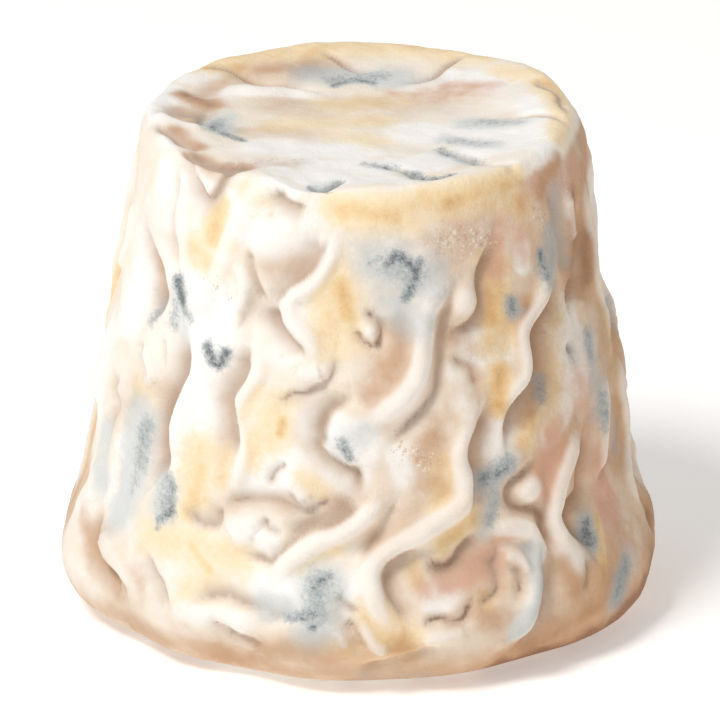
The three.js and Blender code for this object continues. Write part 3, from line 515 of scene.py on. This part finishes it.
# Colour on the side as strokes: half width, strength, and points as degrees round and height
PAINT = {
    "mould": [
        (1.2, 1.15, [(-46.6, 43.8), (-45, 41.8)]), (1.1, 0.75, [(-46, 42), (-43, 40)]),
        (1.1, 0.75, [(-52, 41), (-54.5, 39.5), (-57, 37.5)]),
        (1.2, 0.65, [(-48, 41), (-48.5, 38.5)]),
        (1.0, 1.15, [(-36.8, 37.4), (-34.3, 35.7), (-31.8, 37.2)]),
        (1.6, 0.6, [(-36, 37), (-32.5, 37)]), (2.4, 0.7, [(8, 48.3), (14, 47)]),
        (0.9, 1.15, [(7.5, 48.4), (9.5, 49.3), (12, 48.6), (14.5, 47.4)]),
        (0.8, 1.1, [(15.4, 48.4), (14.2, 46.4), (11.6, 44.6)]),
        (0.8, 0.7, [(3, 48.5), (6.5, 49.3)]), (1.1, 1.0, [(50.5, 46.2), (50.5, 44)]),
        (1.3, 0.95, [(39.5, 42), (40, 41)]), (0.7, 0.7, [(58, 33)]),
        (1.2, 0.8, [(65.5, 34.8), (65.5, 32.5)]), (1.3, 0.8, [(46.5, 32.5), (45.5, 30.7)]),
        (1.3, 0.8, [(66, 27.5), (65.5, 24)]), (1.8, 0.75, [(-53, 26.5), (-54, 22)]),
        (1.2, 0.6, [(-54, 22), (-56, 18)]), (1.8, 0.75, [(-44.5, 21.5), (-45, 18.5)]),
        (0.8, 1.0, [(-42.8, 21), (-43, 18.5), (-45.5, 16.8)]),
        (0.5, 0.9, [(-46.5, 17), (-46, 15.5)]), (1.0, 0.9, [(-3.2, 29), (-1.8, 27.4)]),
        (2.2, 0.85, [(-7.5, 13.4), (-8, 10)]), (0.9, 1.05, [(-6, 14), (-8.5, 12.8)]),
        (0.8, 1.1, [(-8.4, 8.6)]), (0.9, 0.95, [(-9.5, 9.8), (-13.5, 9.4)]),
        (1.7, 1.0, [(28.5, 23.3), (33.5, 24.4)]), (1.0, 0.8, [(30.5, 22.5), (30, 20), (28, 18.5)]),
        (1.2, 1.15, [(54.5, 14.8), (54.8, 12.7)]), (1.7, 0.9, [(62.5, 8.6), (57, 6.2)]),
    ],
    "haze": [
        (3.0, 0.6, [(-47, 42), (-45, 39)]), (2.4, 0.5, [(-55, 39)]),
        (2.0, 0.6, [(-36, 37.5), (-32.5, 37.3)]), (4.2, 0.9, [(6, 48.5), (16, 46.5)]),
        (3.4, 0.8, [(9, 44), (13, 42)]), (2.2, 0.7, [(40, 41.5)]), (2.4, 0.6, [(58, 34)]),
        (2.6, 0.7, [(66, 34), (65.5, 26)]), (2.2, 0.6, [(61, 52), (61, 44)]),
        (2.6, 0.9, [(57, 47.5), (53, 43)]), (3.4, 1.0, [(-55, 27), (-56, 21), (-59, 15.5)]),
        (2.6, 0.9, [(-45, 20.5), (-46, 18)]), (2.6, 0.7, [(-3.5, 29), (1, 30)]),
        (3.6, 1.0, [(-7, 13), (-8, 9)]), (2.4, 0.8, [(-10, 10), (-18, 10.5)]),
        (2.4, 0.8, [(28, 23), (34, 24.5)]), (1.6, 0.7, [(30, 21), (27, 17.5)]),
        (2.2, 0.8, [(54.5, 15), (54.3, 12.5)]), (2.6, 0.7, [(64, 9), (57, 6)]),
        (1.6, 0.9, [(37.5, 14.5), (38, 12), (36, 9), (31, 6.5)]),
        (2.4, 0.8, [(-72, 22), (-68, 17)]), (2.2, 0.45, [(0, 2), (14, 2)]),
        (2.0, 0.7, [(94, 33), (96, 27)]), (2.4, 0.4, [(20, 50.4), (32, 50)]),
        (2.4, 0.5, [(72, 24), (72, 20)]),
    ],
    "ochre": [
        (2.1, 1.05, [(-38, 52.5), (-38.5, 49.5)]), (2.0, 0.8, [(-44, 47.5), (-38, 46.5)]),
        (1.4, 0.6, [(-36, 50), (-32.5, 49)]), (3.0, 0.6, [(-55, 29)]),
        (3.4, 0.75, [(-5, 46), (-5, 40.5)]), (1.6, 1.2, [(-4, 46), (-2.5, 43)]),
        (2.6, 0.65, [(-18, 33), (-19, 29)]), (0.9, 1.3, [(-16.5, 31), (-17, 29.6)]),
        (2.0, 0.6, [(-22, 29), (-23, 26)]), (2.4, 0.5, [(-23, 34), (-26, 31)]),
        (2.0, 0.6, [(-29, 26), (-31, 23)]), (2.8, 0.75, [(-36, 26), (-37, 21)]),
        (1.6, 0.95, [(-35, 24), (-38.5, 18.5)]), (2.8, 0.65, [(-47, 14.5), (-26, 15)]),
        (0.9, 0.9, [(-36, 15), (-31, 13)]), (1.6, 0.65, [(-12, 15.4), (-5, 17)]),
        (1.8, 0.6, [(-11, 24.5), (-8, 23.5)]), (1.7, 1.3, [(33, 43.5), (33.5, 41)]),
        (2.6, 0.9, [(34.5, 46.5), (36.5, 40)]), (2.2, 0.7, [(36, 38), (33, 38.5)]),
        (1.6, 1.2, [(34, 35), (33, 31.5)]), (2.0, 0.7, [(18, 26), (17.5, 22)]),
        (1.2, 0.9, [(23, 22), (19, 20.5)]), (1.6, 0.9, [(24, 19.3), (18, 16.8)]),
        (1.3, 0.9, [(11.5, 14.8), (12, 13.4)]), (1.4, 0.8, [(26, 10.5)]),
        (0.8, 0.9, [(58, 15), (55.5, 10), (49, 5.2)]), (2.6, 0.85, [(3.5, 10.3), (9, 6.5)]),
        (2.0, 0.5, [(-5, 6.5), (3, 5)]), (2.2, 0.8, [(-6, 54.6), (6, 54.2), (14, 54.4)]),
        (1.7, 1.05, [(-4, 54.2), (10, 53.6)]), (2.0, 0.9, [(18, 55), (30, 55.4), (46, 55.2)]),
        (1.7, 1.1, [(24, 54.6), (34, 55), (43, 55)]), (5.0, 0.5, [(-90, 50), (-92, 34), (-92, 16)]),
        (2.4, 0.5, [(-36, 10), (-30, 12)]), (2.2, 0.65, [(14, 53), (4, 52.6)]),
        (2.0, 0.45, [(-30, 55), (-24, 54.6)]), (2.6, 0.7, [(82, 40), (80, 28), (84, 18)]),
        (2.4, 0.8, [(99, 27), (97, 16)]), (2.0, 0.7, [(90, 40), (92, 31)]),
        (2.2, 0.45, [(56, 41), (46, 27)]), (1.6, 0.8, [(41, 29), (39, 26.5)]),
    ],
    # Warm ground: partly the rind's own tan tint, partly painted shade on the right side away from
    # the lamp, along the foot and in hollows between folds
    "warm_and_shaded": [
        (9, 0.35, [(8, 48), (5, 10)]), (10, 0.6, [(32, 50), (26, 12)]),
        (11, 0.9, [(58, 50), (52, 10)]), (13, 1.0, [(86, 52), (84, 10)]),
        (3.2, 0.8, [(-86, 3), (-60, 3), (-30, 3), (0, 2.5)]),
        (4.5, 1.0, [(0, 2.5), (30, 2), (60, 3), (88, 4)]), (2.2, 0.5, [(-22, 47.5), (-14, 48)]),
        (3, 0.7, [(9, 41), (7, 38), (4, 35)]), (2.6, 0.5, [(-4, 22), (1, 23.6), (5, 24)]),
        (3, 0.3, [(-9, 32), (-9, 29)]), (3.4, 0.8, [(-64, 11), (-54, 8)]),
        (3.6, 1.0, [(-90, 24), (-86, 6)]), (2.2, 0.6, [(-4, 10), (0, 9)]),
        (2.4, 0.6, [(18, 31), (14, 27)]), (3, 0.6, [(12, 21), (4, 17)]),
        (2.8, 0.9, [(-18, 5), (-4, 6), (6, 6)]), (2.6, 0.35, [(-32, 33), (-30, 24)]),
        (2.2, 0.45, [(-48, 31), (-48, 25)]), (2.6, 0.45, [(-58, 30), (-64, 26)]),
        (2.4, 0.4, [(-30, 20), (-16, 22)]), (2.4, 0.5, [(-60, 50), (-58, 44)]),
        (3, 0.4, [(-50, 7), (-36, 6)]), (2.2, 0.5, [(10, 22), (16, 19)]),
    ],
    "pink": [
        (2.6, 1.0, [(19, 13.4), (27, 14)]), (1.8, 0.7, [(13, 12.6)]),
        (3.0, 1.0, [(63, 20), (64, 14.5)]), (2.6, 0.9, [(47, 26), (44, 21)]),
        (4.0, 0.7, [(54, 54), (72, 52)]), (3.0, 0.5, [(41, 50.5)]),
        (1.8, 0.6, [(44, 48.6), (46.5, 46.5)]), (1.8, 0.8, [(37, 49), (36.5, 46)]),
        (5.0, 0.5, [(60, 30), (58, 22)]), (2.4, 0.3, [(9, 38), (3, 34)]),
        (3.5, 0.4, [(28, 51), (44, 49)]), (1.8, 0.6, [(32, 16.5), (26, 16)]),
        (2.2, 0.5, [(-5, 5), (2, 5.5)]),
    ],
    # Tan that turns brown: partly the rind's own colour, partly painted shade on the right side,
    # along the foot and in hollows between folds
    "tan_and_shade": [
        (3.6, 0.9, [(88, 52), (84, 44)]), (5.5, 0.7, [(86, 40), (83, 30), (86, 16)]),
        (1.6, 0.6, [(45.5, 37), (46, 33), (39, 29)]), (2.0, 1.1, [(70, 50), (66, 45), (62, 41)]),
        (3.0, 0.4, [(38, 26), (40, 22)]), (2.4, 0.7, [(52, 24), (51, 19)]),
        (3.0, 0.55, [(262, 2), (220, 2), (180, 2), (140, 2), (100, 3)]),
        (4.6, 1.4, [(76, 5), (70, 3.5), (50, 2)]), (4.6, 1.1, [(76, 5), (94, 4)]),
        (4.0, 1.0, [(84, 9), (94, 8)]), (4.4, 0.8, [(94, 5), (118, 3)]),
        (3.4, 1.4, [(50, 2), (30, 1.4)]), (3.0, 0.5, [(30, 1.4), (0, 1.4), (-30, 1.6)]),
        (2.8, 0.7, [(-30, 1.6), (-76, 2.4)]), (3.0, 0.9, [(64, 10), (50, 6), (34, 4)]),
        (1.6, 0.5, [(-64, 48.5), (-60, 46), (-56.5, 43.5), (-55.5, 41)]),
        (1.6, 0.7, [(45, 12), (47, 6)]), (1.8, 0.6, [(22, 40), (26, 38.6)]),
        (1.8, 0.6, [(-72, 12), (-63, 9.6)]), (1.4, 0.4, [(-50, 10.6), (-46, 8)]),
        (1.8, 0.35, [(13, 49.8), (30, 50.5)]), (2.8, 0.55, [(11, 40), (9.5, 36)]),
        (2.0, 0.6, [(24, 9), (30, 7)]), (3.5, 0.8, [(-100, 8), (-90, 6), (-82, 3)]),
        (1.8, 1.2, [(43, 41), (42.4, 38)]), (2.6, 0.6, [(17, 30), (15, 24)]),
        (3.2, 1.1, [(82, 50), (76, 45), (71, 40)]), (2.4, 1.0, [(74, 24), (72, 20)]),
        (2.6, 1.1, [(61, 8), (58, 5.5)]), (2.0, 0.6, [(7, 6.5), (11, 5.5)]),
    ],
    "white": [
        (4.5, 0.7, [(-62, 44), (-66, 38)]), (4.5, 0.9, [(-40, 42), (-36, 34), (-42, 27)]),
        (3.0, 0.4, [(-20, 40), (-14, 37.5)]), (3.0, 0.9, [(-30, 53), (-22, 51)]),
        (2.4, 1.1, [(-50, 54.4), (-36, 54.6)]), (2.0, 0.4, [(-10, 53), (-14, 51.5)]),
        (2.6, 0.8, [(-15, 26), (-21, 24)]), (2.4, 1.0, [(28, 38.5), (34, 37)]),
        (1.3, 0.9, [(45, 47.3), (44.7, 45.6)]), (1.8, 0.9, [(52, 29), (46, 26.4)]),
        (1.8, 0.6, [(8.5, 27.5), (10, 25)]), (1.8, 1.0, [(15.7, 11), (18, 11.8)]),
        (3.2, 1.15, [(57, 38.5), (58, 32)]), (3.0, 0.6, [(-60, 22), (-62, 16)]),
        (2.4, 1.0, [(33, 31), (33, 26.5)]), (2.4, 0.7, [(-2, 13), (-1, 11)]),
        (2.2, 0.9, [(-14, 12.5), (-18, 12)]), (2.6, 0.9, [(-8, 30.5), (1, 29)]),
        (2.2, 0.8, [(-4, 25.8), (-1, 25)]), (2.0, 0.6, [(-16, 50.5), (-9, 50)]),
        (2.2, 0.4, [(22, 36), (25, 31)]), (1.4, 0.9, [(66, 53), (66.5, 49)]),
        (2.2, 0.6, [(40, 21)]), (2.0, 0.7, [(49, 20), (45, 16), (48, 12)]),
        (2.0, 0.6, [(-24, 18), (-18, 17)]), (3.0, 0.7, [(-76, 33), (-80, 24)]),
        (3.0, 0.8, [(96, 47), (100, 38)]), (2.6, 0.8, [(91, 21), (95, 12)]),
        (2.0, 0.5, [(-36, 8), (-24, 8)]), (1.4, 0.8, [(65, 9.5), (63, 10.5)]),
    ],
    "crumb": [
        (2.6, 1.0, [(10, 28.4), (15, 26.5)]), (3.0, 1.0, [(22, 50.5), (34, 49.5)]),
        (2.4, 0.9, [(52, 51.5), (54, 48)]), (1.4, 0.9, [(66, 53), (66.5, 49)]),
        (2.4, 0.7, [(28, 38), (32, 37)]), (2.0, 0.8, [(-40, 44.5), (-32, 43.5)]),
        (1.8, 0.7, [(-4, 43), (-6, 41)]), (1.6, 0.7, [(64, 10)]), (2.2, 0.6, [(9, 3.5), (22, 3)]),
        (1.8, 0.6, [(-12, 7)]), (2.0, 0.6, [(-34, 13)]), (1.6, 0.7, [(46, 19)]),
    ],
}

# Colour on the top, by places in plan
TOP_PAINT = {
    "mould": [
        (1.0, 1.0, [(-16, -2), (-15.5, -3.5), (-12.8, -6)]), (1.8, 0.8, [(-15.8, 1), (-15.6, -3)]),
        (1.0, 1.0, [(-2.6, 11.5), (-0.5, 13.3), (1.6, 12.2)]), (2.0, 0.75, [(-2.5, 13), (2.5, 14)]),
        (1.9, 0.62, [(13.5, -0.6), (17, -2)]), (1.4, 0.6, [(10.5, -5.6), (14, -7.6)]),
        (1.8, 0.7, [(10, -10), (12.5, -13)]),
        (1.0, 1.0, [(3, -13.4), (5.8, -16.4), (7.5, -19), (10, -18.4)]),
        (1.4, 0.7, [(1, -13), (4, -13.6)]), (0.9, 0.9, [(-5, -20.4), (-3.4, -20.6), (-2, -19)]),
        (0.8, 0.9, [(9, -7.3), (10, -8.6), (12.5, -11.5)]),
    ],
    "haze": [
        (2.5, 1.0, [(-15.2, 1.4), (-15.2, -3)]), (3.2, 1.0, [(-5, 14.5), (4, 13.5)]),
        (2, 0.5, [(6, 14.5), (9, 13)]), (2.4, 0.9, [(12.5, -0.3), (17.3, -2.4)]),
        (2.0, 0.8, [(9.6, -5), (15, -8.5)]), (2.4, 0.7, [(10, -9), (12.5, -13.5)]),
        (2.0, 0.7, [(2.6, -13), (7, -19.6)]), (2.4, 0.45, [(-13, -13.6), (-6, -13)]),
        (1.6, 0.7, [(-5, -20.5), (-2.5, -19.5)]),
    ],
    "ochre": [
        (1.3, 1.2, [(-17, 14.3), (-13.5, 15.3)]), (1.2, 1.3, [(20.3, 8.6), (22, 6), (22.6, 3)]),
        (2.2, 0.8, [(8, -23), (14, -20), (18, -17)]),
        (3.0, 0.8, [(-18, 15), (-8, 20), (4, 21.5), (14, 18)]),
        (1.8, 0.7, [(19.5, 11), (22.6, 0), (22, -8)]), (2.2, 0.6, [(16, 13), (20, 9)]),
        (3.4, 0.55, [(-9, -1), (2, 1)]), (3.4, 0.55, [(-3, 6), (4, 7)]),
        (2.6, 0.5, [(-2, -3.5), (2, -6)]),
    ],
    "warm_and_shaded": [
        (4.6, 0.5, [(-8, 6), (8, 6)]), (3.6, 0.7, [(-14, 12), (-4, 17)]),
        (3.2, 0.5, [(-12, -3), (-6, -4)]),
    ],
    "pink": [
        (2.4, 0.5, [(4, 9), (14, 8)]), (1.8, 0.6, [(10, 10.5), (15, 9.5)]),
    ],
    # Tan on the top: painted shade in its bowls and on the inner slope of the rim
    "tan_and_shade": [
        (2.0, 1.1, [(-19, 1.8), (-16.8, 2.4)]), (2.0, 1.1, [(-18.8, 6), (-16.4, 5)]),
        (1.4, 0.9, [(-20.3, -5.4), (-19, -7.2), (-17.5, -9)]),
        (1.6, 0.6, [(-17, 8), (-15.7, 10.5)]),
        (2.2, 1.3, [(-17.3, -12.6), (-15.6, -15.2), (-13, -15)]),
        (2.4, 0.4, [(-13, -13), (-7, -13.8)]), (2.2, 0.6, [(-12, 15), (-6, 16.5)]),
        (1.4, 0.8, [(22, -10), (20, -14.5)]),
    ],
    "white": [
        (3.4, 0.8, [(-10, -8), (0, -9)]), (3.0, 1.0, [(-4, -14), (8, -14)]),
        (2.0, 0.8, [(-19, 11), (-17, 13)]), (3.2, 0.9, [(6, -3), (12, -3)]),
        (3.4, 1.0, [(17, -5), (19, -9)]), (3.0, 0.9, [(8, -12), (16, -8)]),
        (2.4, 0.55, [(10, 14), (17, 10)]), (2.2, 1.0, [(-16, -20), (-8, -22)]),
        (2.2, 1.0, [(-22, 3), (-21, 7)]), (2.4, 0.9, [(-8, -17.5), (4, -19.5)]),
        (1.6, 0.8, [(-22, -2), (-23, 2)]), (2, 0.9, [(-20, -8), (-21, -14)]),
        (1.6, 0.9, [(-14, 9), (-8, 9.6), (-4, 8.5)]), (2.4, 0.7, [(19, 3), (20, -3)]),
    ],
    "crumb": [
        (2.2, 0.9, [(-13, -13.5), (-7, -12.5)]), (1.8, 0.8, [(9, -9.5), (12.5, -12.5)]),
        (2, 0.7, [(-16, 4), (-14, 0)]), (2.4, 0.6, [(-13, 13.5), (-8, 15)]),
    ],
}

# The side's colours stop at the rim's edge, all but the ochre, and fade over a short way
RIM_EDGE, RIM_FADE = 55.6, 1.2

# The depth at which a crease has its full painted shade, and the half width of the dark line
# of painted shade that each crease of the top carries whatever its depth
FULL_SHADE_DEPTH = 1.4
FOLD_LINE = 0.5

# The hidden side takes the same colours in patches, by seeded draws: how many of each, their
# least and largest half width, and their strength. They start between two heights and wander
# sideways by some degrees at each step down.
PATCH_SEED = 23
PATCH_MARGIN = 4
PATCH_LOW, PATCH_HIGH = 12, 52
PATCH_FOOT = 4
PATCH_SWAY = 14
PATCH_STEPS = 2
PATCHES = {
    "mould": (9, 0.9, 1.5, 0.9), "haze": (10, 1.3, 2.6, 0.75), "ochre": (13, 2.0, 3.4, 0.9),
    "warm_and_shaded": (10, 4.0, 8.0, 0.8), "pink": (6, 2.0, 3.2, 0.6), "tan_and_shade": (9, 1.6, 2.8, 0.55),
    "white": (12, 2.4, 4.2, 0.9), "crumb": (9, 1.8, 3.0, 0.9),
}


def back_paint(name, draw):
    """Strokes of one colour spread round the hidden side, each wandering downwards."""
    count, least, most, strength = PATCHES[name]
    spread = BACK_TO - BACK_FROM - 2 * PATCH_MARGIN
    strokes = []
    for i in range(count):
        degrees = BACK_FROM + PATCH_MARGIN + spread * (i + draw()) / count
        height = PATCH_LOW + (PATCH_HIGH - PATCH_LOW) * draw()
        half = least + (most - least) * draw()
        line = [(degrees, height)]
        for _ in range(PATCH_STEPS):
            degrees += PATCH_SWAY * (draw() - 0.5)
            height = max(PATCH_FOOT, height - half * (1 + draw()))
            line.append((degrees, height))
        strokes.append((half, strength * (0.7 + 0.5 * draw()), line))
    return strokes


def keep(name, values):
    """Stores one number for each vertex as a named attribute that the rind's material reads."""
    body.attributes.new(name, "FLOAT", "POINT").data.foreach_set("value", values)


patch_draw = make_draw(PATCH_SEED)
below_rim = np.clip((RIM_EDGE - smooth[:, 2]) / RIM_FADE, 0, 1)
for name, strokes in PAINT.items():
    amount = strongest(smooth, outward, strokes + back_paint(name, patch_draw), on_side,
                       tapered=False)
    if name != "ochre":
        amount *= below_rim
    on_crown = strongest(smooth, outward, TOP_PAINT[name], on_top, tapered=False)
    keep(name, np.maximum(amount, on_crown))
# Painted shade for the material: darker the deeper a crease or bowl is, with a thin dark line along
# each crease of the top; ridge heights for a painted highlight
fold_lines = [(FOLD_LINE, 1.0, line) for *_, line in TOP_CREASES]
fold_line = strongest(smooth, outward, fold_lines, on_top)
keep("crease", np.clip(np.maximum(crease / FULL_SHADE_DEPTH, fold_line), 0, 1))
keep("bowl", np.clip(bowl, 0, 1))
keep("ridge", np.clip(ridge, 0, 1))


class Wire:
    """A shader socket to reckon with: an expression on wires adds the nodes that work it out."""

    def __init__(self, tree, socket=None):
        self.tree, self.socket = tree, socket

    def node(self, kind, settings, values, output=0):
        node = self.tree.nodes.new(kind)
        for name, setting in settings.items():
            setattr(node, name, setting)
        for name, value in values.items():
            if isinstance(value, Wire):
                self.tree.links.new(value.socket, node.inputs[name])
            else:
                node.inputs[name].default_value = value
        return Wire(self.tree, node.outputs[output]) if node.outputs else node

    def math(self, operation, *others):
        values = dict(enumerate((self, *others)))
        return self.node("ShaderNodeMath", {"operation": operation}, values)

    def __add__(self, other):
        return self.math("ADD", other)

    def __mul__(self, other):
        return self.math("MULTIPLY", other)

    def __sub__(self, other):
        return self.math("SUBTRACT", other)

    def step(self, low, high):
        """0 below low and 1 above high, with a soft passage between."""
        return self.node("ShaderNodeMapRange", {"interpolation_type": "SMOOTHSTEP"},
                         {"Value": self, "From Min": low, "From Max": high})

    def mix(self, first, second):
        """One colour turning into another as this goes from 0 to 1."""
        return self.node("ShaderNodeMix", {"data_type": "RGBA"}, {0: self, 6: first, 7: second}, 2)


def colour(red, green, blue):
    """A colour named by its values on screen, as the shader's linear light."""
    return tuple(((part / 255 + 0.055) / 1.055) ** 2.4 for part in (red, green, blue)) + (1.0,)


rind = bpy.data.materials.new("rind")
rind.use_nodes = True
tree = rind.node_tree
tree.nodes.clear()
sheet = Wire(tree)
place = sheet.node("ShaderNodeTexCoord", {}, {}, "Object")


def grain(size, detail=2.0, rough=0.5):
    """Noise on the rind, about a size in millimetres from speck to speck."""
    return sheet.node("ShaderNodeTexNoise", {}, {
        "Vector": place, "Scale": 1 / (size * MM), "Detail": detail, "Roughness": rough}, "Fac")


def read(name):
    return sheet.node("ShaderNodeAttribute", {"attribute_name": name}, {}, "Fac")


# Noise from broad clouds down to dust
cloud = grain(7.0, 3.0)
blotch = grain(2.6, 3.0)
speck = grain(0.7, 3.0, 0.7)
dust = grain(0.28, 2.0, 0.6)


def ragged(name, blotches, specks=0.0):
    """A stored amount whose edge the noise breaks up."""
    amount = read(name) + (blotch - 0.5) * blotches
    return amount + (speck - 0.5) * specks if specks else amount


def lay(cover, amount, plain, warmed=None):
    """The cover with one more colour on it; on the tan ground it may take a darker, warmer copy,
    which is partly painted shade.
    """
    tone = colour(*plain) if warmed is None else warm_and_shaded.mix(colour(*plain), colour(*warmed))
    return amount.mix(cover, tone)


# The ground: cream on the lit side, tan towards the right and the foot, which is partly the rind's
# own tint and partly painted shade, white bloom over both
warm_and_shaded = ragged("warm_and_shaded", 0.4).step(0.0, 1.0)
cover = cloud.step(0.35, 0.65).mix(colour(244, 232, 215), colour(248, 241, 232))
cover = warm_and_shaded.mix(cover, cloud.step(0.4, 0.6).mix(colour(203, 170, 139), colour(219, 192, 163)))
cover = lay(cover, ragged("white", 0.8).step(0.15, 0.6) * 0.92, (253, 251, 248), (238, 229, 219))

# Ochre, deeper towards the middle of a patch, then pink, then tan that turns brown, which is partly
# the rind's own colour and partly painted shade
ochre = ragged("ochre", 0.5, 0.6)
cover = lay(cover, ochre.step(0.1, 0.6) * 0.85, (248, 228, 192), (226, 196, 150))
cover = lay(cover, ochre.step(0.5, 1.0) * 0.85, (240, 211, 162), (218, 174, 114))
cover = lay(cover, ochre.step(0.9, 1.4) * 0.85, (224, 182, 124), (204, 152, 88))
cover = lay(cover, ragged("pink", 0.8).step(0.1, 0.9) * 0.85, (214, 165, 139))
tan_and_shade = ragged("tan_and_shade", 0.7)
cover = lay(cover, tan_and_shade.step(0.1, 0.9) * 0.85, (197, 153, 116))
cover = lay(cover, tan_and_shade.step(0.8, 1.3) * 0.85, (146, 102, 71))

# Painted shade darkens creases and bowls, and a painted highlight lightens the crests of ridges
hollow = read("bowl") * 0.7 + read("crease")
shade = hollow + (blotch - 0.5) * 0.3
cover = lay(cover, shade.step(0.05, 0.8) * 0.85, (209, 191, 175), (196, 161, 132))
cover = lay(cover, hollow.step(0.5, 1.05) * 0.7, (182, 158, 138), (162, 122, 93))
# Painted highlight on the crests of ridges, away from creases
crest = read("ridge") - hollow * 0.6 + (blotch - 0.5) * 0.3
cover = lay(cover, crest.step(0.2, 0.85) * 0.8, (251, 246, 241), (239, 228, 216))

# Mould: a grey haze, then blue-grey spots with near-black hearts
bloom = ragged("haze", 0.5, 0.4)
cover = lay(cover, bloom.step(0.2, 0.9) * 0.85, (213, 217, 217), (178, 179, 176))
spots = ragged("mould", 0.4, 0.9) + (dust - 0.5) * 0.7
cover = lay(cover, spots.step(0.3, 0.95) * 0.75, (157, 165, 168))
cover = lay(cover, spots.step(0.8, 1.25) * 0.8, (87, 95, 98))

# Crumbs, pale and brown, and a faint dust all over
flake = (speck - 0.5) * 3.0 + (dust - 0.5) * 2.0
cover = lay(cover, (read("crumb") * 0.9 + flake).step(1.05, 1.4) * 0.65, (244, 237, 228))
cover = lay(cover, (read("crumb") * 0.9 - flake).step(1.0, 1.35) * 0.5, (184, 152, 125))
powder = (dust - 0.5) * 1.4 + (speck - 0.5)
cover = lay(cover, powder.step(0.3, 0.6) * 0.25, (214, 190, 165))

# A dry, faintly downy surface that lets a little light in
bump = sheet.node("ShaderNodeBump", {}, {
    "Height": speck * 0.7 + dust * 0.5 + blotch * 0.6, "Strength": 0.5, "Distance": 0.25 * MM})
dryness = (speck - 0.5) * 0.3 + 0.72
surface = sheet.node("ShaderNodeBsdfPrincipled", {}, {
    "Base Color": cover, "Roughness": dryness, "Normal": bump, "Specular IOR Level": 0.3,
    "Subsurface Weight": 0.08, "Subsurface Radius": (1.0, 0.6, 0.35), "Subsurface Scale": 2.0 * MM,
    "Sheen Weight": 0.03, "Sheen Roughness": 0.6})
sheet.node("ShaderNodeOutputMaterial", {}, {"Surface": surface})
body.materials.append(rind)

cheese = bpy.data.objects.new("cheese_rind", body)
bpy.context.scene.collection.objects.link(cheese)
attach(cheese, "root")
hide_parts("cheese")

# The floor
# A plain pale sweep of board under the cheese, large enough to fill every view.
# It isn't part of the object.

FLOOR_SIZE = 6.0
FLOOR_COLOUR = (246, 245, 243)
FLOOR_ROUGHNESS = 0.9
FLOOR_GLOW = 0.3

bm = bmesh.new()
bmesh.ops.create_grid(bm, x_segments=1, y_segments=1, size=FLOOR_SIZE / 2)
ground = bpy.data.meshes.new("floor")
bm.to_mesh(ground)
bm.free()
paint = bpy.data.materials.new("floor_paint")
paint.use_nodes = True
coat = paint.node_tree.nodes["Principled BSDF"].inputs
coat["Base Color"].default_value = colour(*FLOOR_COLOUR)
coat["Roughness"].default_value = FLOOR_ROUGHNESS
coat["Emission Color"].default_value = (1, 1, 1, 1)
coat["Emission Strength"].default_value = FLOOR_GLOW
ground.materials.append(paint)
floor = bpy.data.objects.new("floor", ground)
bpy.context.scene.collection.objects.link(floor)

# The light
# One large soft lamp high on the left, a weak warm one on the right, and a pale room all round.

# Name, place, width, power and colour of each lamp
LAMPS = [
    ("key", (-0.42, -0.38, 0.88), 0.35, 6.9, (1.0, 0.987, 0.972)),
    ("fill", (0.7, -0.5, 0.25), 0.6, 0.72, (1.0, 0.88, 0.77)),
]
AIM = Vector((0, 0, HEIGHT * MM / 2))
ROOM_COLOUR = (1.0, 0.99, 0.98, 1.0)
ROOM_STRENGTH = 0.37

for name, spot, size, power, tint in LAMPS:
    lamp = bpy.data.lights.new(name, "AREA")
    lamp.shape = "DISK"
    lamp.size = size
    lamp.energy = power
    lamp.color = tint
    holder = bpy.data.objects.new(name, lamp)
    holder.location = spot
    holder.rotation_euler = (AIM - Vector(spot)).to_track_quat("-Z", "Y").to_euler()
    bpy.context.scene.collection.objects.link(holder)

room = bpy.data.worlds.new("room")
room.use_nodes = True
room.node_tree.nodes["Background"].inputs["Color"].default_value = ROOM_COLOUR
room.node_tree.nodes["Background"].inputs["Strength"].default_value = ROOM_STRENGTH
bpy.context.scene.world = room
bpy.context.scene.view_settings.view_transform = "Standard"

# The camera
# It looks down on the shown side by 22 degrees through a long lens.

CAMERA_DOWN = math.radians(22)
CAMERA_AWAY = 0.9
FRAME_WIDTH = 0.0808
SENSOR = 36.0
TARGET = Vector((0.0001, 0, 0.02715))

camera_data = bpy.data.cameras.new("camera")
camera_data.sensor_width = SENSOR
camera_data.lens = SENSOR * CAMERA_AWAY / FRAME_WIDTH
camera = bpy.data.objects.new("camera", camera_data)
back_off = Vector((0, -math.cos(CAMERA_DOWN), math.sin(CAMERA_DOWN))) * CAMERA_AWAY
camera.location = TARGET + back_off
camera.rotation_euler = (-back_off).to_track_quat("-Z", "Y").to_euler()
bpy.context.scene.collection.objects.link(camera)
bpy.context.scene.camera = camera
